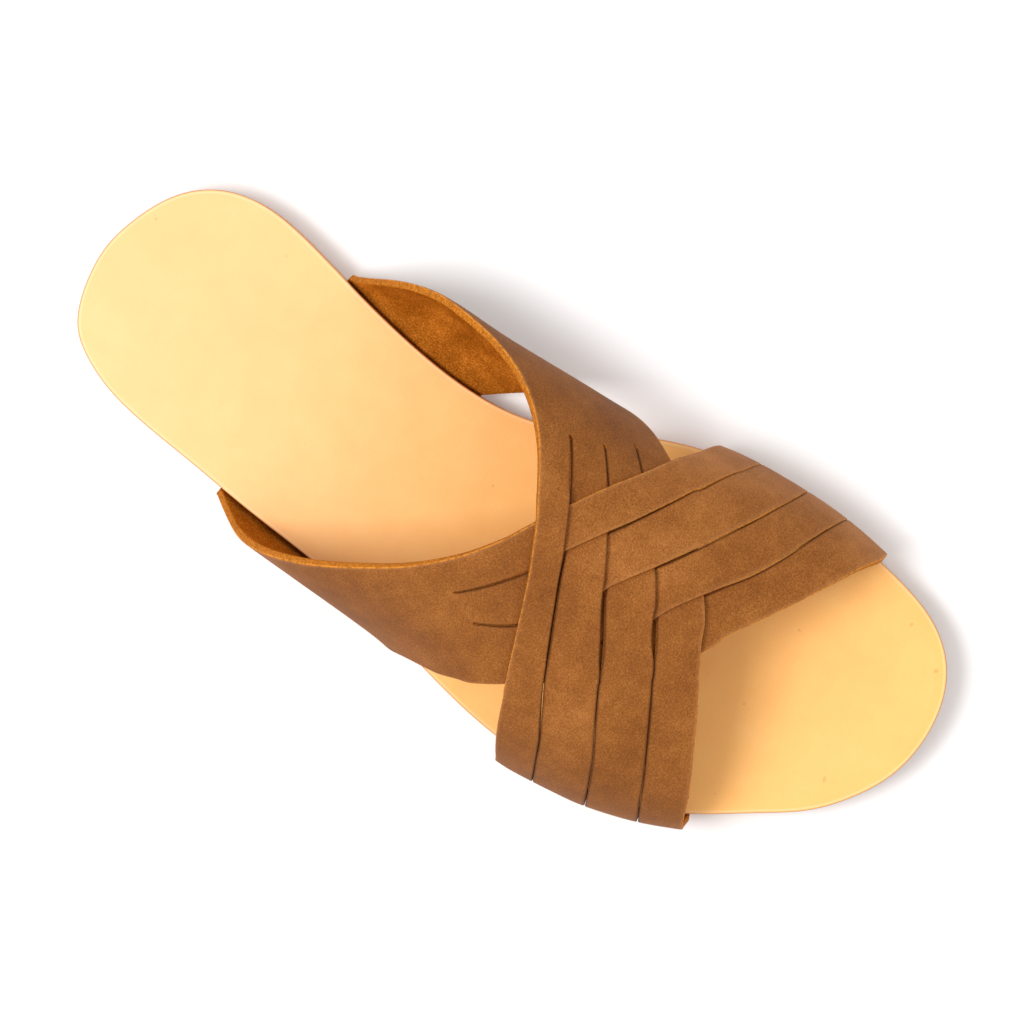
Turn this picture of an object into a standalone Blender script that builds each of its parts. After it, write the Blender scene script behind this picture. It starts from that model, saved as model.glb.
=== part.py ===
# Cross strap sandal, right shoe. Millimetres here, metres in the scene.
# +Y runs from heel to toe, +X to the wearer's right (the outside of this foot), +Z up.
# "Share" is a place along the sole: 0 at the back of the heel, 1 at the tip of the toe.
# "Across" is a place across the foot, over the instep: -1 at the inside edge of the sole,
# 0 on the ridge of the foot, 1 at the outside edge.
import bpy
import numpy as np

# Named sizes
SOLE_LENGTH = 258.0
BALL_WIDTH = 98.0
INSTEP_HEIGHT = 67.0
OUTSOLE_THICK = 6.5
HEEL_RISE = 3.5
ARCH_RISE = 2.2
TOE_SPRING = 6.5
TREAD_ROUND = 1.6
INSOLE_THICK = 3.6
EDGE_ROUND = 0.9
UNDER_ROUND = 0.5
LEATHER = 2.1
LIFT = 1.6
SLIT = 1.5
CLEAR = 0.3
EDGE_GAP = 0.4
SWELL = 1.0
BEND_RADIUS = 0.6
TUCK = 8.0
TUCK_SPARE = 1.5

# Sole outline: share, then x of the inside edge and of the outside edge as parts of the ball width
OUTLINE = (
    (0.000, -0.138, -0.138),
    (0.010, -0.270, 0.012),
    (0.035, -0.392, 0.091),
    (0.080, -0.482, 0.153),
    (0.140, -0.499, 0.193),
    (0.200, -0.462, 0.222),
    (0.260, -0.413, 0.253),
    (0.340, -0.358, 0.288),
    (0.420, -0.329, 0.335),
    (0.500, -0.353, 0.400),
    (0.580, -0.438, 0.459),
    (0.660, -0.502, 0.486),
    (0.740, -0.514, 0.476),
    (0.820, -0.496, 0.407),
    (0.880, -0.459, 0.316),
    (0.930, -0.416, 0.232),
    (0.970, -0.345, 0.117),
    (0.990, -0.266, 0.021),
    (1.000, -0.128, -0.128),
)

# Side profile: share, then the parts of the toe spring under the outsole and at the joint of
# outsole and insole, the part of the heel rise at the joint, the part of the arch rise below
PROFILE = (
    (0.00, 0.09, 0.00, 1.00, 0.0),
    (0.04, 0.00, 0.00, 1.00, 0.0),
    (0.28, 0.00, 0.00, 1.00, 0.0),
    (0.42, 0.00, 0.00, 0.54, 1.0),
    (0.58, 0.00, 0.00, 0.00, 0.0),
    (0.78, 0.00, 0.00, 0.00, 0.0),
    (0.89, 0.26, 0.25, 0.00, 0.0),
    (1.00, 1.00, 0.94, 0.00, 0.0),
)

# Sections of the last: share, widest x inside, widest x outside and x of the ridge as parts of
# the ball width, height of the ridge as a part of the instep height, squareness (2 is an ellipse)
LAST = (
    (0.20, -0.408, 0.260, -0.082, 0.90, 2.00),
    (0.26, -0.457, 0.295, -0.082, 0.955, 2.00),
    (0.34, -0.504, 0.322, -0.082, 1.00, 2.00),
    (0.42, -0.488, 0.350, -0.077, 1.00, 2.00),
    (0.50, -0.480, 0.386, -0.071, 0.955, 2.05),
    (0.58, -0.472, 0.480, -0.066, 0.896, 2.15),
    (0.64, -0.488, 0.501, -0.071, 0.836, 2.25),
    (0.70, -0.505, 0.496, -0.077, 0.761, 2.35),
    (0.76, -0.498, 0.470, -0.087, 0.687, 2.40),
    (0.82, -0.482, 0.420, -0.097, 0.612, 2.40),
    (0.88, -0.454, 0.348, -0.107, 0.552, 2.40),
)

# Inner panel: across, then the share of its rear edge, its three slits and its front edge.
# It is sewn in along the inside of the waist, and its strips end at the outside of the toes.
INNER_PANEL = (
    (-1.00, 0.239, 0.28, 0.33, 0.38, 0.420),
    (-0.85, 0.266, 0.338, 0.388, 0.44, 0.489),
    (-0.70, 0.3, 0.407, 0.458, 0.518, 0.584),
    (-0.60, 0.349, 0.45, 0.5, 0.557, 0.613),
    (-0.50, 0.412, 0.482, 0.528, 0.582, 0.635),
    (-0.25, 0.495, 0.534, 0.582, 0.633, 0.682),
    (0.00, 0.539, 0.573, 0.621, 0.678, 0.7305),
    (0.12, 0.5565, 0.5921, 0.6478, 0.7066, 0.758),
    (0.25, 0.573, 0.612, 0.671, 0.729, 0.779),
    (0.50, 0.598, 0.645, 0.704, 0.758, 0.8063),
    (0.75, 0.616, 0.659, 0.718, 0.773, 0.818),
    (1.00, 0.620, 0.664, 0.723, 0.779, 0.825),
)
INNER_SLITS_START = (-0.33, -0.39, -0.50)

# Outer panel, in the same columns. It is sewn in along the outside of the instep, and its
# strips end at the inside of the toes.
OUTER_PANEL = (
    (-1.00, 0.6685, 0.7145, 0.77, 0.82, 0.872),
    (-0.75, 0.651, 0.7005, 0.7587, 0.808, 0.865),
    (-0.50, 0.6195, 0.669, 0.7348, 0.787, 0.844),
    (-0.25, 0.574, 0.6235, 0.693, 0.755, 0.811),
    (0.00, 0.518, 0.564, 0.627, 0.687, 0.754),
    (0.25, 0.452, 0.5, 0.548, 0.594, 0.634),
    (0.40, 0.39, 0.451, 0.498, 0.538, 0.572),
    (0.50, 0.352, 0.425, 0.474, 0.514, 0.5495),
    (0.60, 0.319, 0.4, 0.449, 0.49, 0.527),
    (0.75, 0.28, 0.355, 0.404, 0.446, 0.481),
    (0.90, 0.252, 0.312, 0.367, 0.42, 0.46),
    (1.00, 0.2275, 0.285, 0.345, 0.405, 0.45),
)
OUTER_SLITS_START = (0.27, 0.31, 0.29)

# Mesh sizes
SOLE_STATIONS = 44
STRIP_COLUMNS = 3
ACROSS_ROWS = np.concatenate([np.linspace(-1.0, -0.62, 7), np.linspace(-0.56, 0.56, 29), np.linspace(0.62, 1.0, 7)])
BEND_ROWS = np.array([0.25, 0.5, 0.75, 1.0])


def column(table, index):
    return np.array([row[index] for row in table])


def smooth(x, xs, ys):
    """A curve through the points of a table that never overshoots them, and is flat where they are level."""
    step = np.diff(xs)
    slope = np.diff(ys) / step
    before, after = slope[:-1], slope[1:]
    same = before * after > 0
    wide, narrow = 2 * step[1:] + step[:-1], step[1:] + 2 * step[:-1]
    safe_before = np.where(same, before, 1.0)
    safe_after = np.where(same, after, 1.0)
    middle = np.where(same, (wide + narrow) / (wide / safe_before + narrow / safe_after), 0.0)
    tangent = np.concatenate([[slope[0]], middle, [slope[-1]]])
    x = np.clip(x, xs[0], xs[-1])
    k = np.clip(np.searchsorted(xs, x, side="right") - 1, 0, len(step) - 1)
    t = (x - xs[k]) / step[k]
    rise = ys[k] * (1 + 2 * t) * (1 - t) ** 2 + ys[k + 1] * t * t * (3 - 2 * t)
    return rise + step[k] * (tangent[k] * t * (1 - t) ** 2 - tangent[k + 1] * t * t * (1 - t))


def from_table(table, index, x):
    return smooth(np.asarray(x, float), column(table, 0), column(table, index))


def closed_curve(angle, angles, values):
    """A cubic curve through values round a full turn, smooth where it closes."""
    n = len(angles)
    step = np.diff(np.append(angles, angles[0] + 2 * np.pi))
    rise = np.roll(values, -1) - values
    matrix = np.zeros((n, n))
    right = np.zeros(n)
    for i in range(n):
        matrix[i, i - 1] += step[i]
        matrix[i, i] += 2 * (step[i - 1] + step[i])
        matrix[i, (i + 1) % n] += step[i - 1]
        right[i] = 3 * (step[i] * rise[i - 1] / step[i - 1] + step[i - 1] * rise[i] / step[i])
    tangent = np.linalg.solve(matrix, right)
    angle = np.mod(np.asarray(angle, float) - angles[0], 2 * np.pi) + angles[0]
    k = np.clip(np.searchsorted(angles, angle, side="right") - 1, 0, n - 1)
    t = (angle - angles[k]) / step[k]
    after = (k + 1) % n
    base = values[k] * (1 + 2 * t) * (1 - t) ** 2 + values[after] * t * t * (3 - 2 * t)
    return base + step[k] * (tangent[k] * t * (1 - t) ** 2 - tangent[after] * t * t * (1 - t))


def turn_of(share):
    return np.arccos(np.clip(1 - 2 * np.asarray(share, float), -1, 1))


def outline_x(turn):
    """Sole edge at a turn round it: 0 at the heel, the outside edge, pi at the toe, the inside edge."""
    share = column(OUTLINE, 0)
    outside = turn_of(share)
    inside = 2 * np.pi - outside[1:-1][::-1]
    angles = np.concatenate([outside, inside])
    values = np.concatenate([column(OUTLINE, 2), column(OUTLINE, 1)[1:-1][::-1]])
    return BALL_WIDTH * closed_curve(turn, angles, values)


def sole_edge(share, side):
    """x of the sole edge at a share: side 1 for the outside, -1 for the inside."""
    turn = turn_of(share)
    return outline_x(np.where(side > 0, turn, 2 * np.pi - turn))


def along(share):
    return (np.asarray(share, float) - 0.5) * SOLE_LENGTH


def bottom(share):
    return TOE_SPRING * from_table(PROFILE, 1, share) + ARCH_RISE * from_table(PROFILE, 4, share)


def joint(share):
    rise = TOE_SPRING * from_table(PROFILE, 2, share) + HEEL_RISE * from_table(PROFILE, 3, share)
    return OUTSOLE_THICK + rise


def last_point(across, share):
    """Point of the last, and past the sole's edge of the strap's tuck under the insole."""
    across, share = np.broadcast_arrays(np.asarray(across, float), np.asarray(share, float))
    side = np.where(across < 0, -1.0, 1.0)
    ridge = BALL_WIDTH * from_table(LAST, 3, share)
    high = INSTEP_HEIGHT * from_table(LAST, 4, share) - CLEAR
    square = from_table(LAST, 5, share)
    edge = sole_edge(share, side) + side * EDGE_GAP
    base = np.abs(edge - ridge)
    widest = BALL_WIDTH * np.where(side > 0, from_table(LAST, 2, share), from_table(LAST, 1, share))
    spare = np.abs(widest - ridge) - base
    reach = base + 0.5 * (spare + np.hypot(spare, SWELL))
    low_turn = np.arccos(np.clip(base / reach, 0, 1) ** (square / 2))
    scale = high / (1 + np.sin(low_turn) ** (2 / square))
    up = np.clip(1 - np.abs(across), 0, 1)
    turn = -low_turn + up * (np.pi / 2 + low_turn)
    x = ridge + side * reach * np.abs(np.cos(turn)) ** (2 / square)
    z = scale * (np.sin(low_turn) ** (2 / square) + np.sign(np.sin(turn)) * np.abs(np.sin(turn)) ** (2 / square))
    z = z + CLEAR
    # Past the edge: a quarter bend of a small radius, then straight in under the insole
    past = np.clip(np.abs(across) - 1, 0, 2)
    bend = np.clip(past, 0, 1) * np.pi / 2
    straight = np.clip(past - 1, 0, 1) * TUCK
    bent_x = edge - side * (BEND_RADIUS * (1 - np.cos(bend)) + straight)
    bent_z = CLEAR - BEND_RADIUS * np.sin(bend)
    x = np.where(past > 0, bent_x, x)
    z = np.where(past > 0, bent_z, z)
    return np.stack([x, along(share), z + joint(share)], axis=-1)


def last_normal(across, share):
    step = 0.004
    over = last_point(across + step, share) - last_point(across - step, share)
    ahead = last_point(across, share + step) - last_point(across, share - step)
    normal = np.cross(over, ahead)
    return normal / np.linalg.norm(normal, axis=-1, keepdims=True)


def strip_count(table, across, share):
    """Place among a panel's edges: 0 at its rear edge, 4 at its front edge, going on past both."""
    edges = np.stack([from_table(table, k, np.clip(across, -1, 1)) for k in range(1, 6)], axis=-1)
    count = (share - edges[..., 0]) / (edges[..., 1] - edges[..., 0])
    for k in range(1, 4):
        here = k + (share - edges[..., k]) / (edges[..., k + 1] - edges[..., k])
        count = np.where(share > edges[..., k], here, count)
    return count


def ease(x, start, end):
    t = np.clip((x - start) / (end - start), 0, 1)
    return t * t * (3 - 2 * t)


def raised(crossed, first):
    """How far a strip is lifted, from 0 to 1, where it lies over the strips it crosses from first on."""
    entry = ease(crossed, -0.5, -0.05) if first == 0 else ease(crossed, first - 0.3, first + 0.3)
    return entry * (1 - ease(crossed, 4.05, 4.5))


def wall(outer, inner, cells):
    """Closed wall between two grids of points, over the cells that are true."""
    rows, columns = cells.shape
    count = outer.shape[0] * outer.shape[1]
    number = np.arange(count).reshape(outer.shape[:2])
    faces = []
    for r in range(rows):
        for c in range(columns):
            if not cells[r, c]:
                continue
            ring = [number[r, c], number[r + 1, c], number[r + 1, c + 1], number[r, c + 1]]
            faces.append(ring)
            faces.append([k + count for k in ring[::-1]])
            missing = (
                c == 0 or not cells[r, c - 1],
                r == rows - 1 or not cells[r + 1, c],
                c == columns - 1 or not cells[r, c + 1],
                r == 0 or not cells[r - 1, c],
            )
            for k in range(4):
                if missing[k]:
                    a, b = ring[k], ring[(k + 1) % 4]
                    faces.append([b, a, a + count, b + count])
    points = np.concatenate([outer.reshape(-1, 3), inner.reshape(-1, 3)])
    used = np.unique(np.concatenate([np.array(face) for face in faces]))
    place = np.full(len(points), -1)
    place[used] = np.arange(len(used))
    return points[used], [[int(place[k]) for k in face] for face in faces]


def add_object(name, body, middle, material):
    """Adds a body, moved so that the middle of the whole shoe's width is on x = 0."""
    points, faces = body
    mesh = bpy.data.meshes.new(name)
    placed = (np.asarray(points) - [middle, 0, 0]) * 0.001
    mesh.from_pydata([tuple(p) for p in placed], [], [tuple(f) for f in faces])
    mesh.validate()
    thing = bpy.data.objects.new(name, mesh)
    thing.data.materials.append(material)
    bpy.context.scene.collection.objects.link(thing)
    return thing


def make_material(name, colour, roughness):
    material = bpy.data.materials.new(name)
    material.use_nodes = True
    shader = material.node_tree.nodes["Principled BSDF"]
    shader.inputs["Base Color"].default_value = (*colour, 1.0)
    shader.inputs["Roughness"].default_value = roughness
    material.diffuse_color = (*colour, 1.0)
    return material


def panel(table, other, starts, base_side, over_from):
    """One panel with its four strips, as points and faces."""
    bend = 1 + BEND_ROWS
    across = np.concatenate([[-3.0], -bend[::-1], ACROSS_ROWS, bend, [3.0]])
    flat = np.clip(across, -1, 1)
    shares, strip = [], []
    half = 0.5 * SLIT / SOLE_LENGTH
    for k in range(4):
        rear = from_table(table, 1 + k, flat) + (half if k else 0)
        front = from_table(table, 2 + k, flat) - (half if k < 3 else 0)
        for part in np.linspace(0, 1, STRIP_COLUMNS + 1):
            shares.append(rear + (front - rear) * part)
            strip.append(k)
    shares = np.stack(shares, axis=1)
    strip = np.array(strip)
    over = np.repeat(across[:, None], shares.shape[1], axis=1)
    crossed = strip_count(other, over, shares)
    lift = np.zeros_like(shares)
    for k in range(4):
        lift[:, strip == k] = raised(crossed[:, strip == k], over_from(k))
    points = last_point(over, shares)
    normals = last_normal(over, shares)
    inner = points + normals * LIFT * lift[..., None]
    outer = inner + normals * LEATHER
    cells = np.ones((len(across) - 1, len(strip) - 1), bool)
    middle = 0.5 * (across[1:] + across[:-1])
    for k in range(3):
        gap = (STRIP_COLUMNS + 1) * (k + 1) - 1
        cells[:, gap] = middle * base_side > starts[k] * base_side
    return wall(outer, inner, cells)


def sole_rings(levels):
    """Closed body from rings round the sole: each level is an inset from the edge and heights at every share."""
    turns = np.linspace(0, 2 * np.pi, 2 * SOLE_STATIONS, endpoint=False)
    share = (1 - np.cos(turns)) / 2
    x, y = outline_x(turns), along(share)
    step = 1e-4
    tangent = np.stack([outline_x(turns + step) - outline_x(turns - step),
                        along((1 - np.cos(turns + step)) / 2) - along((1 - np.cos(turns - step)) / 2)], axis=1)
    tangent /= np.linalg.norm(tangent, axis=1, keepdims=True)
    rings = []
    for inset, height in levels:
        rings.append(np.stack([x - inset * tangent[:, 1], y + inset * tangent[:, 0], height(share)], axis=1))
    count = len(turns)
    faces = []
    for r in range(len(levels) - 1):
        for i in range(count):
            j = (i + 1) % count
            faces.append([r * count + i, r * count + j, (r + 1) * count + j, (r + 1) * count + i])
    top = (len(levels) - 1) * count
    for k in range(SOLE_STATIONS):
        near, far = (count - k) % count, count - k - 1
        quad = [k, k + 1, far, near]
        if k == 0:
            quad = [0, 1, count - 1]
        elif k == SOLE_STATIONS - 1:
            quad = [k, k + 1, near]
        faces.append([top + i for i in quad])
        faces.append(quad[::-1])
    return np.concatenate(rings), faces


def rebate(side, start, end):
    """Cutter for the step in the outsole's top that takes strap ends on one side."""
    spare = 2 * CLEAR / SOLE_LENGTH
    shares = np.linspace(start - spare, end + spare, 9)
    ways = np.array([-TUCK - TUCK_SPARE, -0.5 * TUCK, 0.0, TUCK])
    x = sole_edge(shares, np.full(9, side))[None, :] + side * ways[:, None]
    if side < 0:
        x = x[::-1]
    y = np.repeat(along(shares)[None, :], 4, axis=0)
    low = np.repeat(joint(shares)[None, :] - LEATHER - BEND_RADIUS, 4, axis=0)
    outer = np.stack([x, y, low + 2 * LEATHER], axis=-1)
    inner = np.stack([x, y, low], axis=-1)
    return wall(outer, inner, np.ones((3, 8), bool))


def apply_boolean(target, other, operation):
    modifier = target.modifiers.new(operation.lower(), "BOOLEAN")
    modifier.operation = operation
    modifier.solver = "EXACT"
    modifier.object = other
    other.hide_render = True
    other.display_type = "WIRE"


def main():
    for thing in list(bpy.data.objects):
        bpy.data.objects.remove(thing)
    strap_leather = make_material("strap_leather", (0.33, 0.14, 0.05), 0.6)
    insole_leather = make_material("insole_leather", (0.85, 0.62, 0.36), 0.55)
    outsole_leather = make_material("outsole_leather", (0.42, 0.22, 0.10), 0.65)

    outsole_body = sole_rings((
        (TREAD_ROUND, bottom),
        (0.3 * TREAD_ROUND, lambda s: bottom(s) + 0.7 * TREAD_ROUND),
        (0.0, lambda s: bottom(s) + 1.6 * TREAD_ROUND),
        (0.0, joint),
    ))
    insole_body = sole_rings((
        (UNDER_ROUND, lambda s: joint(s) + CLEAR),
        (0.0, lambda s: joint(s) + CLEAR + UNDER_ROUND),
        (0.0, lambda s: joint(s) + INSOLE_THICK - EDGE_ROUND),
        (0.3 * EDGE_ROUND, lambda s: joint(s) + INSOLE_THICK - 0.3 * EDGE_ROUND),
        (EDGE_ROUND, lambda s: joint(s) + INSOLE_THICK),
    ))
    # Strip k of the inner panel lies over strips k and up of the outer panel, and under the rest.
    # Strip k of the outer panel lies over the strips of the inner panel after the k-th.
    inner_body = panel(INNER_PANEL, OUTER_PANEL, INNER_SLITS_START, -1, lambda k: k)
    outer_body = panel(OUTER_PANEL, INNER_PANEL, OUTER_SLITS_START, 1, lambda k: k + 1)
    wide = np.concatenate([body[0][:, 0] for body in (outsole_body, inner_body, outer_body)])
    middle = 0.5 * (wide.min() + wide.max())

    outsole = add_object("outsole", outsole_body, middle, outsole_leather)
    add_object("insole", insole_body, middle, insole_leather)
    upper = add_object("upper", inner_body, middle, strap_leather)
    outer = add_object("outer_panel", outer_body, middle, strap_leather)
    apply_boolean(upper, outer, "UNION")

    ends = (
        (-1, INNER_PANEL[0][1], INNER_PANEL[0][5]),
        (1, INNER_PANEL[-1][1], INNER_PANEL[-1][5]),
        (-1, OUTER_PANEL[0][1], OUTER_PANEL[0][5]),
        (1, OUTER_PANEL[-1][1], OUTER_PANEL[-1][5]),
    )
    for number, (side, start, end) in enumerate(ends):
        cutter = add_object("rebate_cutter_%d" % number, rebate(side, start, end), middle, outsole_leather)
        apply_boolean(outsole, cutter, "DIFFERENCE")


main()
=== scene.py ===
import bpy
import numpy as np
from mathutils import Matrix, Vector


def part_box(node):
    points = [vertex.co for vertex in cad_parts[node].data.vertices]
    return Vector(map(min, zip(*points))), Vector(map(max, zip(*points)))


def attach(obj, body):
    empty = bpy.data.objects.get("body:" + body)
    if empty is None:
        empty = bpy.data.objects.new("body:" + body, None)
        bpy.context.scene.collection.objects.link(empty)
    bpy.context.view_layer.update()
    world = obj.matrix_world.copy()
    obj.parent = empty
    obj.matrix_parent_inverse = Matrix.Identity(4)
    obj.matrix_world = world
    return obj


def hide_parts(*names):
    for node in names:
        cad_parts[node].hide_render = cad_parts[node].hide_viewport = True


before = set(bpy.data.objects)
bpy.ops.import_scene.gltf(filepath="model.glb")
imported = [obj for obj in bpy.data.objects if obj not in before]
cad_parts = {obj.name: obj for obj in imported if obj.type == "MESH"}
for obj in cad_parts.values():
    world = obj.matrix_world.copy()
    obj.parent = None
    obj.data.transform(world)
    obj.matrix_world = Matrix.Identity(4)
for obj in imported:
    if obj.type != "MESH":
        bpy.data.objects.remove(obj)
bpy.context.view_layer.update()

# Sizes of the shoe, in millimetres
SOLE_LENGTH = 258.0
BALL_WIDTH = 98.0
INSTEP_HEIGHT = 67.0
OUTSOLE_THICK = 6.5
HEEL_RISE = 3.5
ARCH_RISE = 2.2
TOE_SPRING = 6.5
TREAD_ROUND = 1.2
INSOLE_THICK = 3.6
EDGE_ROUND = 0.55
LEATHER = 2.1
LIFT = 1.6
GRAIN_ROUND = 0.42
FLESH_ROUND = 0.25
CLEAR = 0.3
EDGE_GAP = 0.4
SWELL = 1.0
BEND_RADIUS = 0.6
TUCK = 8.0

# Sole outline: share, then x of the inside edge and of the outside edge as parts of the ball width
OUTLINE = (
    (0.000, -0.138, -0.138),
    (0.010, -0.270, 0.012),
    (0.035, -0.392, 0.091),
    (0.080, -0.482, 0.153),
    (0.140, -0.499, 0.193),
    (0.200, -0.462, 0.222),
    (0.260, -0.413, 0.253),
    (0.340, -0.358, 0.288),
    (0.420, -0.329, 0.335),
    (0.500, -0.353, 0.400),
    (0.580, -0.438, 0.459),
    (0.660, -0.502, 0.486),
    (0.740, -0.514, 0.476),
    (0.820, -0.496, 0.407),
    (0.880, -0.459, 0.316),
    (0.930, -0.416, 0.232),
    (0.970, -0.345, 0.117),
    (0.990, -0.266, 0.021),
    (1.000, -0.128, -0.128),
)

# Side profile: share, then the parts of the toe spring under the outsole and at the joint of
# outsole and insole, the part of the heel rise at the joint, the part of the arch rise below
PROFILE = (
    (0.00, 0.09, 0.00, 1.00, 0.0),
    (0.04, 0.00, 0.00, 1.00, 0.0),
    (0.28, 0.00, 0.00, 1.00, 0.0),
    (0.42, 0.00, 0.00, 0.54, 1.0),
    (0.58, 0.00, 0.00, 0.00, 0.0),
    (0.78, 0.00, 0.00, 0.00, 0.0),
    (0.89, 0.26, 0.25, 0.00, 0.0),
    (1.00, 1.00, 0.94, 0.00, 0.0),
)

# Sections of the last: share, widest x inside, widest x outside and x of the ridge as parts of
# the ball width, height of the ridge as a part of the instep height, squareness (2 is an ellipse)
LAST = (
    (0.20, -0.408, 0.260, -0.082, 0.90, 2.00),
    (0.26, -0.457, 0.295, -0.082, 0.955, 2.00),
    (0.34, -0.504, 0.322, -0.082, 1.00, 2.00),
    (0.42, -0.488, 0.350, -0.077, 1.00, 2.00),
    (0.50, -0.480, 0.386, -0.071, 0.955, 2.05),
    (0.58, -0.472, 0.480, -0.066, 0.896, 2.15),
    (0.64, -0.488, 0.501, -0.071, 0.836, 2.25),
    (0.70, -0.505, 0.496, -0.077, 0.761, 2.35),
    (0.76, -0.498, 0.470, -0.087, 0.687, 2.40),
    (0.82, -0.482, 0.420, -0.097, 0.612, 2.40),
    (0.88, -0.454, 0.348, -0.107, 0.552, 2.40),
)

# Inner panel: across, then the share of its rear edge, its three slits and its front edge.
# It is held along the inside of the waist, and its strips end at the outside of the forefoot.
INNER_PANEL = (
    (-1.00, 0.239, 0.28, 0.33, 0.38, 0.420),
    (-0.85, 0.266, 0.338, 0.388, 0.44, 0.489),
    (-0.70, 0.3, 0.407, 0.458, 0.518, 0.584),
    (-0.60, 0.349, 0.45, 0.5, 0.557, 0.613),
    (-0.50, 0.412, 0.482, 0.528, 0.582, 0.635),
    (-0.25, 0.495, 0.534, 0.582, 0.633, 0.682),
    (0.00, 0.539, 0.573, 0.621, 0.678, 0.7305),
    (0.12, 0.5565, 0.5921, 0.6478, 0.7066, 0.758),
    (0.25, 0.573, 0.612, 0.671, 0.729, 0.779),
    (0.50, 0.598, 0.645, 0.704, 0.758, 0.8063),
    (0.75, 0.616, 0.659, 0.718, 0.773, 0.818),
    (1.00, 0.620, 0.664, 0.723, 0.779, 0.825),
)
# Where each slit of the inner panel starts, across. From there it runs to the outside.
INNER_SLITS_START = (-0.33, -0.39, -0.50)

# Outer panel, in the same columns. It is held along the outside of the instep, and its
# strips end at the inside of the forefoot.
OUTER_PANEL = (
    (-1.00, 0.6685, 0.7145, 0.77, 0.82, 0.872),
    (-0.75, 0.651, 0.7005, 0.7587, 0.808, 0.865),
    (-0.50, 0.6195, 0.669, 0.7348, 0.787, 0.844),
    (-0.25, 0.574, 0.6235, 0.693, 0.755, 0.811),
    (0.00, 0.518, 0.564, 0.627, 0.687, 0.754),
    (0.25, 0.452, 0.5, 0.548, 0.594, 0.634),
    (0.40, 0.39, 0.451, 0.498, 0.538, 0.572),
    (0.50, 0.352, 0.425, 0.474, 0.514, 0.5495),
    (0.60, 0.319, 0.4, 0.449, 0.49, 0.527),
    (0.75, 0.28, 0.355, 0.404, 0.446, 0.481),
    (0.90, 0.252, 0.312, 0.367, 0.42, 0.46),
    (1.00, 0.2275, 0.285, 0.345, 0.405, 0.45),
)
# Where each slit of the outer panel starts, across. From there it runs to the inside.
OUTER_SLITS_START = (0.27, 0.31, 0.29)

# Slit widths along the foot in millimetres: across, then the three slits of a panel
INNER_SLITS = (
    (-1.00, 0.28, 0.28, 0.28),
    (-0.30, 0.30, 0.30, 0.30),
    (0.00, 0.45, 0.85, 1.20),
    (0.06, 0.50, 1.00, 1.35),
    (0.10, 0.50, 1.00, 0.14),
    (0.145, 0.50, 0.90, 0.12),
    (0.185, 0.50, 0.14, 0.12),
    (0.20, 0.48, 0.12, 0.12),
    (0.24, 0.12, 0.12, 0.12),
    (0.34, 0.12, 0.12, 0.12),
    (0.85, 0.10, 0.12, 0.12),
    (1.00, 0.35, 0.35, 0.35),
)
OUTER_SLITS = (
    (-1.00, 0.3, 0.3, 0.3),
    (-0.80, 0.12, 0.12, 0.12),
    (-0.50, 0.2, 0.15, 0.15),
    (-0.10, 0.55, 0.6, 0.8),
    (0.20, 0.28, 0.28, 0.28),
    (1.00, 0.28, 0.28, 0.28),
)
# Least width, added to that of every slit, then the width of the round hole at a slit's start
# and half its length across
LEAST_SLIT = 0.04
HOLE = 1.0
HOLE_ACROSS = 0.006

# Painted light and shade: how much lighter or darker than its middle tone a panel's leather
# is painted where light falls on it or turns away: across, then the change of tone
INNER_PAINTED_LIGHT = (
    (-1.00, -0.05),
    (-0.60, -0.045),
    (-0.20, 0.0),
    (0.40, 0.0),
    (0.90, 0.025),
    (1.00, 0.025),
)
OUTER_PAINTED_LIGHT = (
    (-1.00, 0.075),
    (-0.70, 0.070),
    (-0.20, 0.020),
    (0.20, 0.0),
    (1.00, 0.0),
)

# Small waves of the cut edges: their rates, their size as a share, and the angle in radians
# that a rate of 1 turns through from the ridge to the sole's edge
EDGE_WAVES = (5, 9, 17, 31)
WAVE_SIZE = 0.00028
WAVE_PACE = 2.2

# Rim of a strip: how dark its painted shade is along a slit, how much it changes to orange,
# where past the slit's start it does so, how far in millimetres the rim's tone reaches into the
# leather, and the distance that stands for no edge
RIM_DARK = 0.75
RIM_CHANGE = 1.65
RIM_TURNS = (0.1, 0.35)
RIM_REACH = 0.7
NO_EDGE = 6.0

# Where a strip rises over the other panel, counted in that panel's strips: before its first
# strip, half of the length of a rise between two strips, and the fall after its last strip
FIRST_RISE = (-0.5, -0.05)
HALF_RISE = 0.3
LAST_FALL = (4.05, 4.5)

# Interlacing: the air between crossing strips in millimetres, where across each panel's strips
# are still joined, where they come down to the sole, and the rounds of smoothing, each a reach
# in cells of the grid and a number of rounds
STRIP_AIR = 0.08
INNER_JOINED = (-0.30, -0.38)
OUTER_JOINED = (0.22, 0.30)
HELD = (1.0, 0.6)
SMOOTHING = ((6.0, 26), (3.0, 12), (1.6, 5))
LAST_REACH = 1.1
BELL_REACHES = 2.6

# The lift ends close to the sole's edge, and it goes straight up where the normal's z is large
LIFT_ENDS = (1.0, 0.93)
UPRIGHT = (0.35, 0.7)

# Grid of the interlacing
FIELD_ACROSS = 241
FIELD_ALONG = 281
FIELD_SHARES = (0.2, 0.9)

# Rows of a panel's mesh. Past the sole's edge, at 1, a panel bends down until 2 and is tucked in
# until 3. Each slit's start has finer rows, with a clear step to the even ones.
PANEL_ROWS = 250
BEND_ROWS = 1 + np.array([0.12, 0.25, 0.4, 0.55, 0.7, 0.85, 1.0])
TUCK_ROWS = (2.5, 3.0)
START_ROWS = 11
START_REACH = 0.015
START_CLEAR = 0.017

# Columns of a strip, from 0 at its rear edge to 1 at its front edge, and its width in millimetres
HALF_PLACES = np.array([0.0, 0.008, 0.022, 0.045, 0.085, 0.15, 0.24, 0.34, 0.45])
STRIP_PLACES = np.concatenate([HALF_PLACES, 1 - HALF_PLACES[::-1]])
STRIP_WIDE = 12.5
STRIPS = 4

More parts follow.
